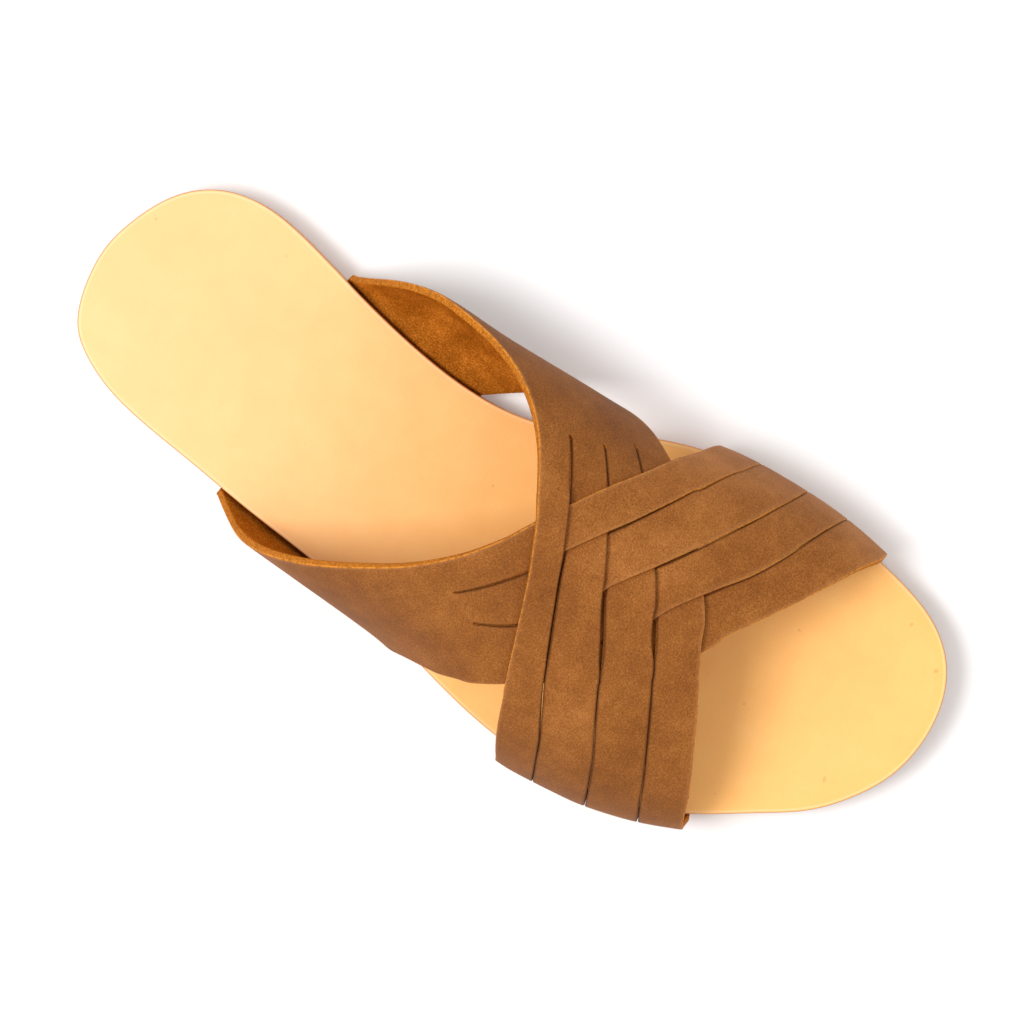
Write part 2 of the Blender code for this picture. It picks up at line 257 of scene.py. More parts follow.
# Mesh of the sole: stations from heel to toe, parts of each line straight across, and the inset
# in millimetres that the points between its sides are given
SOLE_STATIONS = 150
FILL_PARTS = 24
FILL_INSET = 10.0

# Faces of a sole piece, its leather or its burnished edge. The tables below name those of each
# band between one level and the next.
LEATHER_FACE = 0
EDGE_FACE = 1

# Footbed's levels: its lower chamfer, the quarter round of its upper edge as parts of the
# radius inwards and down, and the rings on its top, in millimetres from the edge
FOOTBED_CHAMFER = 0.4
QUARTER_ROUND = ((0.0, 1.0), (0.07, 0.62), (0.3, 0.3), (0.62, 0.07), (1.0, 0.0))
TOP_RINGS = (0.8, 1.2, 3.0)
FOOTBED_FACES = (EDGE_FACE,) * 2 + (LEATHER_FACE,) * 7

# Outsole's levels: the middle of its tread's round, its upper chamfer and the ring on its top
TREAD_MIDDLE = 0.3
OUTSOLE_CHAMFER = 0.3
OUTSOLE_RING = 12.0
OUTSOLE_FACES = (EDGE_FACE,) * 4 + (LEATHER_FACE,)

# Millimetres to metres, and the angle in degrees past which an edge is sharp
MM = 0.001
SHARP_ANGLE = 50

# The photograph looks straight down from 1.2 m over the insole, from over the inside of the shoe.
# Its toe points to the right and 29 degrees down.
CAMERA_PLACE = (-0.0573, -0.0003, 1.210)
CAMERA_AIM = (-0.0086, 0.0019, 0.020)
TOE_ANGLE = 29.0
LENS = 156.0
SENSOR_WIDTH = 36.0

# Studio: half the floor's side in metres, the floor's and the world's tone, and the lights, each
# a name, a place, a size in metres and a power in watts
FLOOR_HALF = 4
FLOOR_TONE = 0.88
WORLD_STRENGTH = 0.88
LIGHTS = (
    ("key_light", (0.25, -0.38, 1.15), 0.42, 9.7),
    ("fill_light", (-0.7, 0.5, 1.5), 1.6, 2.0),
)


def column(table, index):
    return np.array([row[index] for row in table])


def smooth(x, xs, ys):
    """Cubic pieces through a table's points with harmonic mean slopes.

    Nothing overshoots, and what is level in the table stays level.
    """
    step = np.diff(xs)
    slope = np.diff(ys) / step
    before, after = slope[:-1], slope[1:]
    same = before * after > 0
    wide, narrow = 2 * step[1:] + step[:-1], step[1:] + 2 * step[:-1]
    safe_before = np.where(same, before, 1.0)
    safe_after = np.where(same, after, 1.0)
    middle = np.where(same, (wide + narrow) / (wide / safe_before + narrow / safe_after), 0.0)
    tangent = np.concatenate([[slope[0]], middle, [slope[-1]]])
    x = np.clip(x, xs[0], xs[-1])
    k = np.clip(np.searchsorted(xs, x, side="right") - 1, 0, len(step) - 1)
    t = (x - xs[k]) / step[k]
    rise = ys[k] * (1 + 2 * t) * (1 - t) ** 2 + ys[k + 1] * t * t * (3 - 2 * t)
    return rise + step[k] * (tangent[k] * t * (1 - t) ** 2 - tangent[k + 1] * t * t * (1 - t))


def from_table(table, index, x):
    """A table's column at x, by the cubic pieces over its first column."""
    return smooth(np.asarray(x, float), column(table, 0), column(table, index))


def closed_curve(angle, angles, values):
    """Cubic spline through values round a full turn, with equal slopes and bends where it closes."""
    n = len(angles)
    step = np.diff(np.append(angles, angles[0] + 2 * np.pi))
    rise = np.roll(values, -1) - values
    matrix = np.zeros((n, n))
    right = np.zeros(n)
    for i in range(n):
        matrix[i, i - 1] += step[i]
        matrix[i, i] += 2 * (step[i - 1] + step[i])
        matrix[i, (i + 1) % n] += step[i - 1]
        right[i] = 3 * (step[i] * rise[i - 1] / step[i - 1] + step[i - 1] * rise[i] / step[i])
    tangent = np.linalg.solve(matrix, right)
    angle = np.mod(np.asarray(angle, float) - angles[0], 2 * np.pi) + angles[0]
    k = np.clip(np.searchsorted(angles, angle, side="right") - 1, 0, n - 1)
    t = (angle - angles[k]) / step[k]
    after = (k + 1) % n
    base = values[k] * (1 + 2 * t) * (1 - t) ** 2 + values[after] * t * t * (3 - 2 * t)
    return base + step[k] * (tangent[k] * t * (1 - t) ** 2 - tangent[after] * t * t * (1 - t))


def turn_of(share):
    """Angle whose cosine runs from 1 at the heel to -1 at the toe as the share runs from 0 to 1."""
    return np.arccos(np.clip(1 - 2 * np.asarray(share, float), -1, 1))


def outline_x(turn):
    """x of the sole's edge at a turn round it.

    The turn is 0 at the heel, goes along the outside edge to pi at the toe, and back inside.
    """
    share = column(OUTLINE, 0)
    outside = turn_of(share)
    inside = 2 * np.pi - outside[1:-1][::-1]
    angles = np.concatenate([outside, inside])
    values = np.concatenate([column(OUTLINE, 2), column(OUTLINE, 1)[1:-1][::-1]])
    return BALL_WIDTH * closed_curve(turn, angles, values)


def sole_edge(share, side):
    """x of the sole's edge at a share, outside where side is positive."""
    turn = turn_of(share)
    return outline_x(np.where(side > 0, turn, 2 * np.pi - turn))


def along(share):
    """y of a share, from the middle of the sole's length."""
    return (np.asarray(share, float) - 0.5) * SOLE_LENGTH


def bottom(share):
    """Height of the outsole's underside: the toe spring and the rise under the arch."""
    return TOE_SPRING * from_table(PROFILE, 1, share) + ARCH_RISE * from_table(PROFILE, 4, share)


def joint(share):
    """Height where outsole and insole meet: the outsole's thickness, the toe spring and the heel."""
    rise = TOE_SPRING * from_table(PROFILE, 2, share) + HEEL_RISE * from_table(PROFILE, 3, share)
    return OUTSOLE_THICK + rise


def last_point(across, share):
    """Superellipse section from the sole's edge up to the ridge.

    Past the edge come a quarter bend downwards and a tuck inwards.
    """
    across, share = np.broadcast_arrays(np.asarray(across, float), np.asarray(share, float))
    side = np.where(across < 0, -1.0, 1.0)
    ridge = BALL_WIDTH * from_table(LAST, 3, share)
    high = INSTEP_HEIGHT * from_table(LAST, 4, share) - CLEAR
    square = from_table(LAST, 5, share)
    edge = sole_edge(share, side) + side * EDGE_GAP
    base = np.abs(edge - ridge)
    widest = BALL_WIDTH * np.where(side > 0, from_table(LAST, 2, share), from_table(LAST, 1, share))
    spare = np.abs(widest - ridge) - base
    reach = base + 0.5 * (spare + np.hypot(spare, SWELL))
    low_turn = np.arccos(np.clip(base / reach, 0, 1) ** (square / 2))
    scale = high / (1 + np.sin(low_turn) ** (2 / square))
    up = np.clip(1 - np.abs(across), 0, 1)
    turn = -low_turn + up * (np.pi / 2 + low_turn)
    x = ridge + side * reach * np.abs(np.cos(turn)) ** (2 / square)
    climb = np.sign(np.sin(turn)) * np.abs(np.sin(turn)) ** (2 / square)
    z = scale * (np.sin(low_turn) ** (2 / square) + climb)
    z = z + CLEAR
    past = np.clip(np.abs(across) - 1, 0, 2)
    bend = np.clip(past, 0, 1) * np.pi / 2
    straight = np.clip(past - 1, 0, 1) * TUCK
    x = np.where(past > 0, edge - side * (BEND_RADIUS * (1 - np.cos(bend)) + straight), x)
    z = np.where(past > 0, CLEAR - BEND_RADIUS * np.sin(bend), z)
    return np.stack([x, along(share), z + joint(share)], axis=-1)


def last_normal(across, share):
    """Outward direction: the step across the foot crossed with the step towards the toe."""
    step = 0.004
    over = last_point(across + step, share) - last_point(across - step, share)
    ahead = last_point(across, share + step) - last_point(across, share - step)
    normal = np.cross(over, ahead)
    return normal / np.linalg.norm(normal, axis=-1, keepdims=True)


def strip_count(table, across, share):
    """Place among a panel's edges: 0 at its rear edge, 4 at its front edge, going on evenly past both."""
    flat = np.clip(across, -1, 1)
    edges = np.stack([from_table(table, k, flat) for k in range(1, 6)], axis=-1)
    count = (share - edges[..., 0]) / (edges[..., 1] - edges[..., 0])
    for k in range(1, STRIPS):
        here = k + (share - edges[..., k]) / (edges[..., k + 1] - edges[..., k])
        count = np.where(share > edges[..., k], here, count)
    return count


def ease(x, start, end):
    """0 up to start, 1 from end on, level at both. Where start is the larger, it runs backwards."""
    t = np.clip((x - start) / (end - start), 0, 1)
    return t * t * (3 - 2 * t)


def raised(crossed, first):
    """How far a strip is lifted, from 0 to 1, where it lies over the strips it crosses from first on."""
    if first == 0:
        entry = ease(crossed, *FIRST_RISE)
    else:
        entry = ease(crossed, first - HALF_RISE, first + HALF_RISE)
    return entry * (1 - ease(crossed, *LAST_FALL))


def blur(values, weight, reach):
    """Mean of a field round each cell, weighted by a bell curve and by the weight field.

    The bell curve is applied in two passes, one across and one along.
    """
    size = int(BELL_REACHES * reach)
    bell = np.exp(-0.5 * (np.arange(-size, size + 1) / reach) ** 2)
    fields = np.stack([values * weight, weight])
    rows, columns = weight.shape
    wide = np.pad(fields, ((0, 0), (size, size), (0, 0)))
    fields = sum(b * wide[:, k:k + rows] for k, b in enumerate(bell))
    wide = np.pad(fields, ((0, 0), (0, 0), (size, size)))
    fields = sum(b * wide[:, :, k:k + columns] for k, b in enumerate(bell))
    return fields[0] / np.maximum(fields[1], 1e-9)


def smoothed(field, inside, strips, joined, reach):
    """A panel's field smoothed inside its strips, and each strip's own as it goes on past its edges.

    A strip is smoothed by itself, and as one with the whole panel where the strips are joined.
    """
    whole = blur(field, inside.astype(float), reach)
    alone = []
    result = np.zeros_like(field)
    for k in range(STRIPS):
        own = inside & (strips == k)
        part = blur(field, own.astype(float), reach)
        part = part + (whole - part) * joined
        alone.append(part)
        result = np.where(own, part, result)
    return result, alone


def interlace():
    """Heights of both panels' strips over the last where they pass over and under each other.

    Both panels are fields over the same grid of places across and along. Each round smooths every
    strip by itself, then pushes the two panels apart by a leather's thickness where they cross,
    with the strip that belongs on top going up and the other going down. Free ends settle into
    straight slopes down to the sole.
    """
    across = np.linspace(-1, 1, FIELD_ACROSS)
    share = np.linspace(*FIELD_SHARES, FIELD_ALONG)
    q, s = np.meshgrid(across, share, indexing="ij")
    counts = (strip_count(INNER_PANEL, q, s), strip_count(OUTER_PANEL, q, s))
    inside = [(count >= 0) & (count <= STRIPS) for count in counts]
    strips = [np.clip(np.floor(count), 0, STRIPS - 1) for count in counts]
    joined = (ease(q, *INNER_JOINED), ease(q, *OUTER_JOINED))
    panels = list(zip(inside, strips, joined))
    both = inside[0] & inside[1]
    order = np.where(strips[1] >= strips[0], 1.0, -1.0)
    gap = LEATHER + STRIP_AIR
    lowest = -0.5 * LEATHER
    held = ease(np.abs(q), *HELD)
    heights = [np.where(both & (order > 0), gap, 0.0), np.where(both & (order < 0), gap, 0.0)]
    for reach, rounds in SMOOTHING:
        for _ in range(rounds):
            heights = [smoothed(height, *own, reach)[0] * held for height, own in zip(heights, panels)]
            push = np.where(both, np.maximum(gap - order * (heights[0] - heights[1]), 0), 0)
            heights[0] = heights[0] + 0.5 * order * push
            heights[1] = heights[1] - 0.5 * order * push
            sunk = [np.maximum(lowest - height, 0) for height in heights]
            rise = np.where(both, sunk[0] + sunk[1], 0)
            heights = [np.where(both, height + rise, np.maximum(height, lowest)) for height in heights]
    fields = [smoothed(height, *own, LAST_REACH)[1] for height, own in zip(heights, panels)]
    return across, share, fields


def sampled(field, across, share, q, s):
    """Value of a grid field between its cells, in proportion to the distance to the four nearest."""
    u = np.clip((q - across[0]) / (across[1] - across[0]), 0, len(across) - 1.001)
    v = np.clip((s - share[0]) / (share[1] - share[0]), 0, len(share) - 1.001)
    i, j = u.astype(int), v.astype(int)
    u, v = u - i, v - j
    low = field[i, j] * (1 - v) + field[i, j + 1] * v
    high = field[i + 1, j] * (1 - v) + field[i + 1, j + 1] * v
    return low * (1 - u) + high * u


def wall(outer, inner, cells):
    """Closed wall between two grids.

    Each cell gives a face outside and one inside, and each free edge a face between them.
    Kinds: 0 outside, 1 inside, 2 cut edge.
    """
    rows, columns = cells.shape
    count = outer.shape[0] * outer.shape[1]
    number = np.arange(count).reshape(outer.shape[:2])
    ring = np.stack([number[:-1, :-1], number[1:, :-1], number[1:, 1:], number[:-1, 1:]], axis=-1)
    open_row = np.zeros((1, columns), bool)
    open_column = np.zeros((rows, 1), bool)
    missing = (
        ~np.concatenate([open_column, cells[:, :-1]], axis=1),
        ~np.concatenate([cells[1:], open_row], axis=0),
        ~np.concatenate([cells[:, 1:], open_column], axis=1),
        ~np.concatenate([open_row, cells[:-1]], axis=0),
    )
    faces = [ring[cells], ring[cells][:, ::-1] + count]
    kinds = [np.zeros(cells.sum(), int), np.ones(cells.sum(), int)]
    for k in range(4):
        edge = ring[cells & missing[k]]
        a, b = edge[:, k], edge[:, (k + 1) % 4]
        faces.append(np.stack([b, a, a + count, b + count], axis=1))
        kinds.append(np.full(len(edge), 2))
    faces = np.concatenate(faces)
    points = np.concatenate([outer.reshape(-1, 3), inner.reshape(-1, 3)])
    used, faces = np.unique(faces, return_inverse=True)
    return points[used], faces.reshape(-1, 4), np.concatenate(kinds), used % count


def add_mesh(name, points, faces, kinds, finishes, attributes):
    """Mesh object at the origin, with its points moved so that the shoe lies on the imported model."""
    mesh = bpy.data.meshes.new(name)
    points = (np.asarray(points) - [MIDDLE, 0, 0]) * MM
    mesh.from_pydata(points.tolist(), [], faces)
    for finish in finishes:
        mesh.materials.append(finish)
    mesh.polygons.foreach_set("material_index", np.asarray(kinds, np.int32))
    mesh.polygons.foreach_set("use_smooth", np.ones(len(mesh.polygons), bool))
    for label, values in attributes.items():
        layer = mesh.attributes.new(label, "FLOAT", "POINT")
        layer.data.foreach_set("value", np.asarray(values, np.float32))
    mesh.set_sharp_from_angle(angle=np.radians(SHARP_ANGLE))
    mesh.update()
    piece = bpy.data.objects.new(name, mesh)
    bpy.context.scene.collection.objects.link(piece)
    return piece


def panel_rows(starts):
    """Places across of a panel's rows: even ones, finer at each slit's start, then bend and tuck."""
    rows = np.linspace(-1, 1, PANEL_ROWS)
    for start in starts:
        rows = rows[np.abs(rows - start) > START_CLEAR]
        finer = start + np.linspace(-START_REACH, START_REACH, START_ROWS)
        rows = np.sort(np.append(rows, finer))
    past = np.concatenate([BEND_ROWS, TUCK_ROWS])
    return np.concatenate([-past[::-1], rows, past])


def slit_width(slits, number, start, flat, way):
    """A slit's width at each row: a round hole at its start, then what the table says."""
    past = (flat - start) * way
    hole = HOLE * np.sqrt(np.clip(1 - (past / HOLE_ACROSS - 1) ** 2, 0, 1))
    return np.maximum(hole, from_table(slits, number, flat) * ease(past, 0, HOLE_ACROSS)) + LEAST_SLIT


def strip_columns(table, widths, flat, seed):
    """Shares of a panel's columns at every row, and each column's strip and place in that strip.

    A strip runs from one line of the table to the next, less half of the slit on each side, and
    its edges wander by a sum of small sine waves with random starts.
    """
    rng = np.random.default_rng(seed)
    shares, strip, place = [], [], []
    for k in range(STRIPS):
        rear = from_table(table, 1 + k, flat) + 0.5 * widths[k] / SOLE_LENGTH
        front = from_table(table, 2 + k, flat) - 0.5 * widths[k + 1] / SOLE_LENGTH
        for edge in (rear, front):
            for wave in EDGE_WAVES:
                turn = wave * flat * WAVE_PACE + rng.uniform(0, 2 * np.pi)
                edge += WAVE_SIZE / wave ** 0.5 * np.sin(turn)
        for part in STRIP_PLACES:
            shares.append(rear + (front - rear) * part)
            strip.append(k)
            place.append(part)
    return np.stack(shares, axis=1), np.array(strip), np.array(place)


def cut_slits(across, strip, starts, way):
    """Which cells hold leather, where a strip's edge is free, and the tone of the rims.

    A slit is a column of cells left out from its start on. A rim's tone is 1 at a panel's own
    edges and negative along the slits, where it paints shade. On the outer panel, the strip behind
    a slit turns from painted shade to orange further from the slit's start.
    """
    middle = 0.5 * (across[1:] + across[:-1])
    free = np.ones((len(across), len(strip)))
    tone = np.ones((len(across), len(strip)))
    cells = np.ones((len(across) - 1, len(strip) - 1), bool)
    size = len(STRIP_PLACES)
    for k, start in enumerate(starts):
        cells[:, size * (k + 1) - 1] = middle * way < start * way
        open_slit = across * way > start * way + HOLE_ACROSS
        nearest = np.abs(np.arange(len(strip)) - (size * (k + 1) - 0.5)) < size / 2
        free[:, nearest] = np.where(open_slit, 1.0, 0.0)[:, None]
        tone[:, nearest] = -RIM_DARK
        if way < 0:
            behind = nearest & (strip == k)
            run = ease((across - start) * way, *RIM_TURNS)
            tone[:, behind] = (RIM_CHANGE * run - RIM_DARK)[:, None]
    return cells, free, tone


def lifted(over, shares, strip, other, heights, way):
    """Points of a panel's flesh side, with its strips lifted over the last, and the last's normals.

    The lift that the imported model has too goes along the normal. The rest goes straight up where
    the strap lies flat, so that its edges keep their places seen from above.
    """
    grid_across, grid_share, fields = heights
    flat = np.clip(over, -1, 1)
    crossed = strip_count(other, over, shares)
    lift = np.zeros_like(shares)
    kept = np.zeros_like(shares)
    for k in range(STRIPS):
        mine = strip == k
        kept[:, mine] = LIFT * raised(crossed[:, mine], k if way > 0 else k + 1)
        lift[:, mine] = sampled(fields[k], grid_across, grid_share, flat[:, mine], shares[:, mine])
    lift = lift * ease(np.abs(over), *LIFT_ENDS)
    points = last_point(over, shares)
    normals = last_normal(over, shares)
    flatness = ease(normals[..., 2], *UPRIGHT)[..., None]
    steep = 1 / np.maximum(normals[..., 2], UPRIGHT[0])
    straight_up = np.stack([0 * lift, 0 * lift, steep], axis=-1)
    extra = normals * (1 - flatness) + straight_up * flatness
    points = points + normals * kept[..., None] + extra * (lift - kept)[..., None]
    return points, normals


def rounded(from_edge, radius):
    """How far a surface drops close to an edge, by a quarter circle of this radius."""
    near = np.clip(1 - from_edge / radius, 0, 1)
    return radius * (1 - np.sqrt(np.clip(1 - near ** 2, 0, 1)))


def panel(name, table, other, slits, starts, way, heights, finishes, seed, pale):
    """A panel with its four strips: a wall with rows across the foot and columns along it.

    way is 1 where the slits run to the outside of the foot, and -1 where they run to the inside.
    """
    across = panel_rows(starts)
    flat = np.clip(across, -1, 1)
    slit_widths = [slit_width(slits, k + 1, start, flat, way) for k, start in enumerate(starts)]
    shares, strip, place = strip_columns(table, [0.0, *slit_widths, 0.0], flat, seed)
    cells, free, tone = cut_slits(across, strip, starts, way)
    over = np.repeat(across[:, None], len(strip), axis=1)
    points, normals = lifted(over, shares, strip, other, heights, way)
    from_edge = np.minimum(place, 1 - place) * STRIP_WIDE
    grain_drop = rounded(from_edge, GRAIN_ROUND)[None, :] * free
    flesh_drop = rounded(from_edge, FLESH_ROUND)[None, :] * free
    inner = points + normals * flesh_drop[..., None]
    outer = points + normals * (LEATHER - grain_drop)[..., None]
    points, faces, kinds, source = wall(outer, inner, cells)
    near_edge = np.where(free > 0.5, from_edge[None, :], NO_EDGE)
    near_edge[:, 0] = 0.0
    near_edge[:, -1] = 0.0
    rim = (tone * np.exp(-near_edge / RIM_REACH)).reshape(-1)[source]
    # Painted light and shade at each point, lighter or darker as light falls on the panel
    painted_light_tone = np.repeat(from_table(pale, 1, flat)[:, None], len(strip), axis=1).reshape(-1)[source]
    return add_mesh(name, points, faces.tolist(), kinds, finishes, {"rim": rim, "pale": painted_light_tone})


def sole_ring(turns):
    """x and y of the sole's edge at turns round it."""
    return outline_x(turns), along((1 - np.cos(turns)) / 2)


def flat_fill(ring, base, start):
    """Points and faces between a ring's two sides: lines straight across, in even parts.

    base is the number of the ring's first point, and start that of the first point added.
    """
    right = np.arange(1, SOLE_STATIONS)
    left = len(ring) - right
    lines = SOLE_STATIONS - 1
    t = np.linspace(0, 1, FILL_PARTS + 1)[1:-1][None, :, None]
    between = ring[right][:, None, :] * (1 - t) + ring[left][:, None, :] * t
    grid = np.zeros((lines, FILL_PARTS + 1), int)
    grid[:, 0] = base + right
    grid[:, -1] = base + left
    grid[:, 1:-1] = start + np.arange(lines * (FILL_PARTS - 1)).reshape(lines, FILL_PARTS - 1)
    corners = (grid[:-1, :-1], grid[1:, :-1], grid[1:, 1:], grid[:-1, 1:])
    quads = np.stack(corners, axis=-1).reshape(-1, 4)
    heel_end = np.full(FILL_PARTS, base)
    toe_end = np.full(FILL_PARTS, base + SOLE_STATIONS)
    heel = np.stack([heel_end, grid[0, :-1], grid[0, 1:], grid[0, 1:]], axis=1)
    toe = np.stack([grid[-1, :-1], toe_end, grid[-1, 1:], grid[-1, 1:]], axis=1)
    return between.reshape(-1, 3), (quads, heel, toe)


def sole_body(name, levels, finishes, faces_of_levels):
    """Closed slab: rings round the sole, each an inset from the edge and a height at every share.

    The first and the last ring are filled flat.
    """
    turns = np.linspace(0, 2 * np.pi, 2 * SOLE_STATIONS, endpoint=False)
    share = (1 - np.cos(turns)) / 2
    x, y = sole_ring(turns)
    step = 1e-4
    tangent = np.stack(sole_ring(turns + step), axis=1) - np.stack(sole_ring(turns - step), axis=1)
    tangent /= np.linalg.norm(tangent, axis=1, keepdims=True)
    rings = [
        np.stack([x - inset * tangent[:, 1], y + inset * tangent[:, 0], height(share)], axis=1)
        for inset, height in levels
    ]
    count = len(turns)
    here = np.arange(count)
    there = (here + 1) % count
    faces, kinds = [], []
    for r, kind in enumerate(faces_of_levels):
        low, high = r * count, (r + 1) * count
        faces.append(np.stack([low + here, low + there, high + there, high + here], axis=1))
        kinds.append(np.full(count, kind))
    points = np.concatenate(rings)
    top, top_faces = flat_fill(rings[-1], (len(levels) - 1) * count, len(points))
    under, under_faces = flat_fill(rings[0], 0, len(points) + len(top))
    for block in top_faces:
        faces.append(block)
        kinds.append(np.full(len(block), LEATHER_FACE))
    for block in under_faces:
        faces.append(block[:, ::-1])
        kinds.append(np.full(len(block), EDGE_FACE))
    points = np.concatenate([points, top, under])
    faces = [list(dict.fromkeys(face)) for block in faces for face in block.tolist()]
    insets = np.full(len(points), FILL_INSET)
    insets[:len(levels) * count] = np.repeat([inset for inset, _ in levels], count)
    return add_mesh(name, points, faces, np.concatenate(kinds), finishes, {"inset": insets})


def footbed_height(down):
    """Height of the footbed's top at a share, less a distance down."""
    return lambda s: joint(s) + INSOLE_THICK - down


def footbed_levels():
    """The footbed's rings from its underside up: a chamfer, the quarter round and rings on top."""
    levels = [
        (FOOTBED_CHAMFER, lambda s: joint(s) + CLEAR),
        (0.0, lambda s: joint(s) + CLEAR + FOOTBED_CHAMFER),
    ]
    for inwards, down in QUARTER_ROUND:
        levels.append((inwards * EDGE_ROUND, footbed_height(down * EDGE_ROUND)))
    for inset in TOP_RINGS:
        levels.append((inset, footbed_height(0.0)))
    return levels


def outsole_levels():
    """The outsole's rings from its tread up: the tread's round, its side and a chamfer on top."""
    return [
        (TREAD_ROUND, bottom),
        (TREAD_MIDDLE * TREAD_ROUND, lambda s: bottom(s) + TREAD_MIDDLE * TREAD_ROUND),
        (0.0, lambda s: bottom(s) + TREAD_ROUND),
        (0.0, lambda s: joint(s) - OUTSOLE_CHAMFER),
        (OUTSOLE_CHAMFER, joint),
        (OUTSOLE_RING, joint),
    ]


class Value:
    """A socket of a material's nodes. Arithmetic on it adds Math nodes."""

    def __init__(self, finish, socket):
        self.finish = finish
        self.socket = socket

    def maths(self, operation, a, b):
        return self.finish.node("ShaderNodeMath", {"operation": operation}, {0: a, 1: b})

    def __add__(self, other):
        return self.maths("ADD", self, other)

    def __radd__(self, other):
        return self.maths("ADD", other, self)

    def __sub__(self, other):
        return self.maths("SUBTRACT", self, other)

    def __rsub__(self, other):
        return self.maths("SUBTRACT", other, self)

    def __mul__(self, other):
        return self.maths("MULTIPLY", self, other)

    def __rmul__(self, other):
        return self.maths("MULTIPLY", other, self)

    def between(self, low, high):
        """0 at low and under, 1 at high and over, level at both ends."""
        settings = {"interpolation_type": "SMOOTHSTEP"}
        values = {"Value": self, "From Min": low, "From Max": high}
        return self.finish.node("ShaderNodeMapRange", settings, values)


class Finish:
    """A material with one Principled shader, and the method that adds every other node."""

    def __init__(self, name, roughness, specular):
        self.material = bpy.data.materials.new(name)
        self.material.use_nodes = True
        self.tree = self.material.node_tree
        self.shader = self.tree.nodes["Principled BSDF"]
        self.shader.inputs["Roughness"].default_value = roughness
        self.shader.inputs["Specular IOR Level"].default_value = specular
        self.place = self.node("ShaderNodeTexCoord", {}, {}, "Object")

    def node(self, kind, settings, values, output=0):
        """Adds a node with its settings and its values or links, and gives one of its outputs."""
        made = self.tree.nodes.new(kind)
        for label, setting in settings.items():
            if label == "stops":
                ramp = made.color_ramp
                while len(ramp.elements) < len(setting):
                    ramp.elements.new(0.5)
                for element, (position, colour) in zip(ramp.elements, setting):
                    element.position = position
                    element.color = (*colour, 1.0)
            else:
                setattr(made, label, setting)
        for label, value in values.items():
            if isinstance(value, Value):
                self.tree.links.new(value.socket, made.inputs[label])
            else:
                made.inputs[label].default_value = value
        return Value(self, made.outputs[output])

    def noise(self, scale, detail, roughness, stretch=None):
        """Noise on the piece's own coordinates, stretched where a scale for each axis is given."""
        place = self.place
        if stretch:
            place = self.node("ShaderNodeMapping", {}, {"Vector": place, "Scale": stretch})
        values = {"Vector": place, "Scale": scale, "Detail": detail, "Roughness": roughness}
        return self.node("ShaderNodeTexNoise", {}, values, "Fac")

    def mix(self, factor, a, b):
        """Mix of two colours. A Mix node has its factor at 0, its colours at 6 and 7, its result at 2."""
        return self.node("ShaderNodeMix", {"data_type": "RGBA"}, {0: factor, 6: a, 7: b}, 2)

    def attribute(self, name):
        return self.node("ShaderNodeAttribute", {"attribute_name": name}, {}, "Fac")

    def ramp(self, factor, *stops):
        return self.node("ShaderNodeValToRGB", {"stops": stops}, {"Fac": factor}, "Color")

    def paint(self, colour, roughness, height, depth, strength):
        """Links colour, roughness if it varies, and a bump of this depth in metres to the shader."""
        self.tree.links.new(colour.socket, self.shader.inputs["Base Color"])
        if roughness is not None:
            self.tree.links.new(roughness.socket, self.shader.inputs["Roughness"])
        values = {"Height": height, "Distance": depth, "Strength": strength}
        bump = self.node("ShaderNodeBump", {}, values, "Normal")
        self.tree.links.new(bump.socket, self.shader.inputs["Normal"])
        return self.material


def oiled_grain():
    """Tan oiled leather, softly clouded, with a fine grain and small dark flecks.

    Along a panel's own edges it is paler, then orange, and along a slit it has painted shade.
    """
    f = Finish("strap_grain", 0.7, 0.12)
    cloud = f.noise(30, 3, 0.55)
    blotch = f.noise(240, 3, 0.6)
    grain = f.noise(2300, 3, 0.6)
    fibre = f.noise(3600, 2, 0.5)
    # Painted light and shade shift each panel's tone lighter or darker as light falls on it
    tone = cloud * 0.36 + blotch * 0.12 + grain * 0.52 + f.attribute("pale")
    colour = f.ramp(
        tone,
        (0.34, (0.135, 0.040, 0.006)),
        (0.50, (0.240, 0.078, 0.0125)),
        (0.66, (0.395, 0.148, 0.034)),
    )
    rim = f.attribute("rim")
    frayed = f.noise(800, 2, 0.6).between(0.36, 0.60)
    # A paler brown band along a panel's own edges
    edge_paling = rim.between(0.12, 0.45) * (1 - rim.between(0.45, 0.75))
    orange = rim.between(0.42, 0.92) * (0.30 + frayed * 0.60)
    # Painted shade along the slits, where the rim's tone is negative
    slit_shade = (0 - rim).between(0.22, 0.70)
    colour = f.mix(edge_paling * 0.16, colour, (0.44, 0.22, 0.105, 1))
    colour = f.mix(orange, colour, (0.66, 0.235, 0.026, 1))
    colour = f.mix(slit_shade * 0.75, colour, (0.060, 0.018, 0.004, 1))
    fleck = f.noise(900, 2, 0.5).between(0.68, 0.80)
    colour = f.mix(fleck * 0.30, colour, (0.09, 0.028, 0.006, 1))
    rough = 0.50 + grain * 0.22 + blotch * 0.08
    height = grain * 0.9 + fibre * 0.3 + blotch * 0.5
    return f.paint(colour, rough, height, 0.00018, 0.8)


def suede():
    """Orange brown flesh side with a short nap."""
    f = Finish("strap_suede", 1.0, 0.0)
    nap = f.noise(1900, 3, 0.65)
    cloud = f.noise(110, 3, 0.6)
    tone = nap * 0.64 + cloud * 0.36
    colour = f.ramp(
        tone,
        (0.34, (0.20, 0.052, 0.002)),
        (0.5, (0.36, 0.108, 0.009)),
        (0.66, (0.66, 0.225, 0.028)),
    )
    return f.paint(colour, None, nap, 0.0005, 0.8)


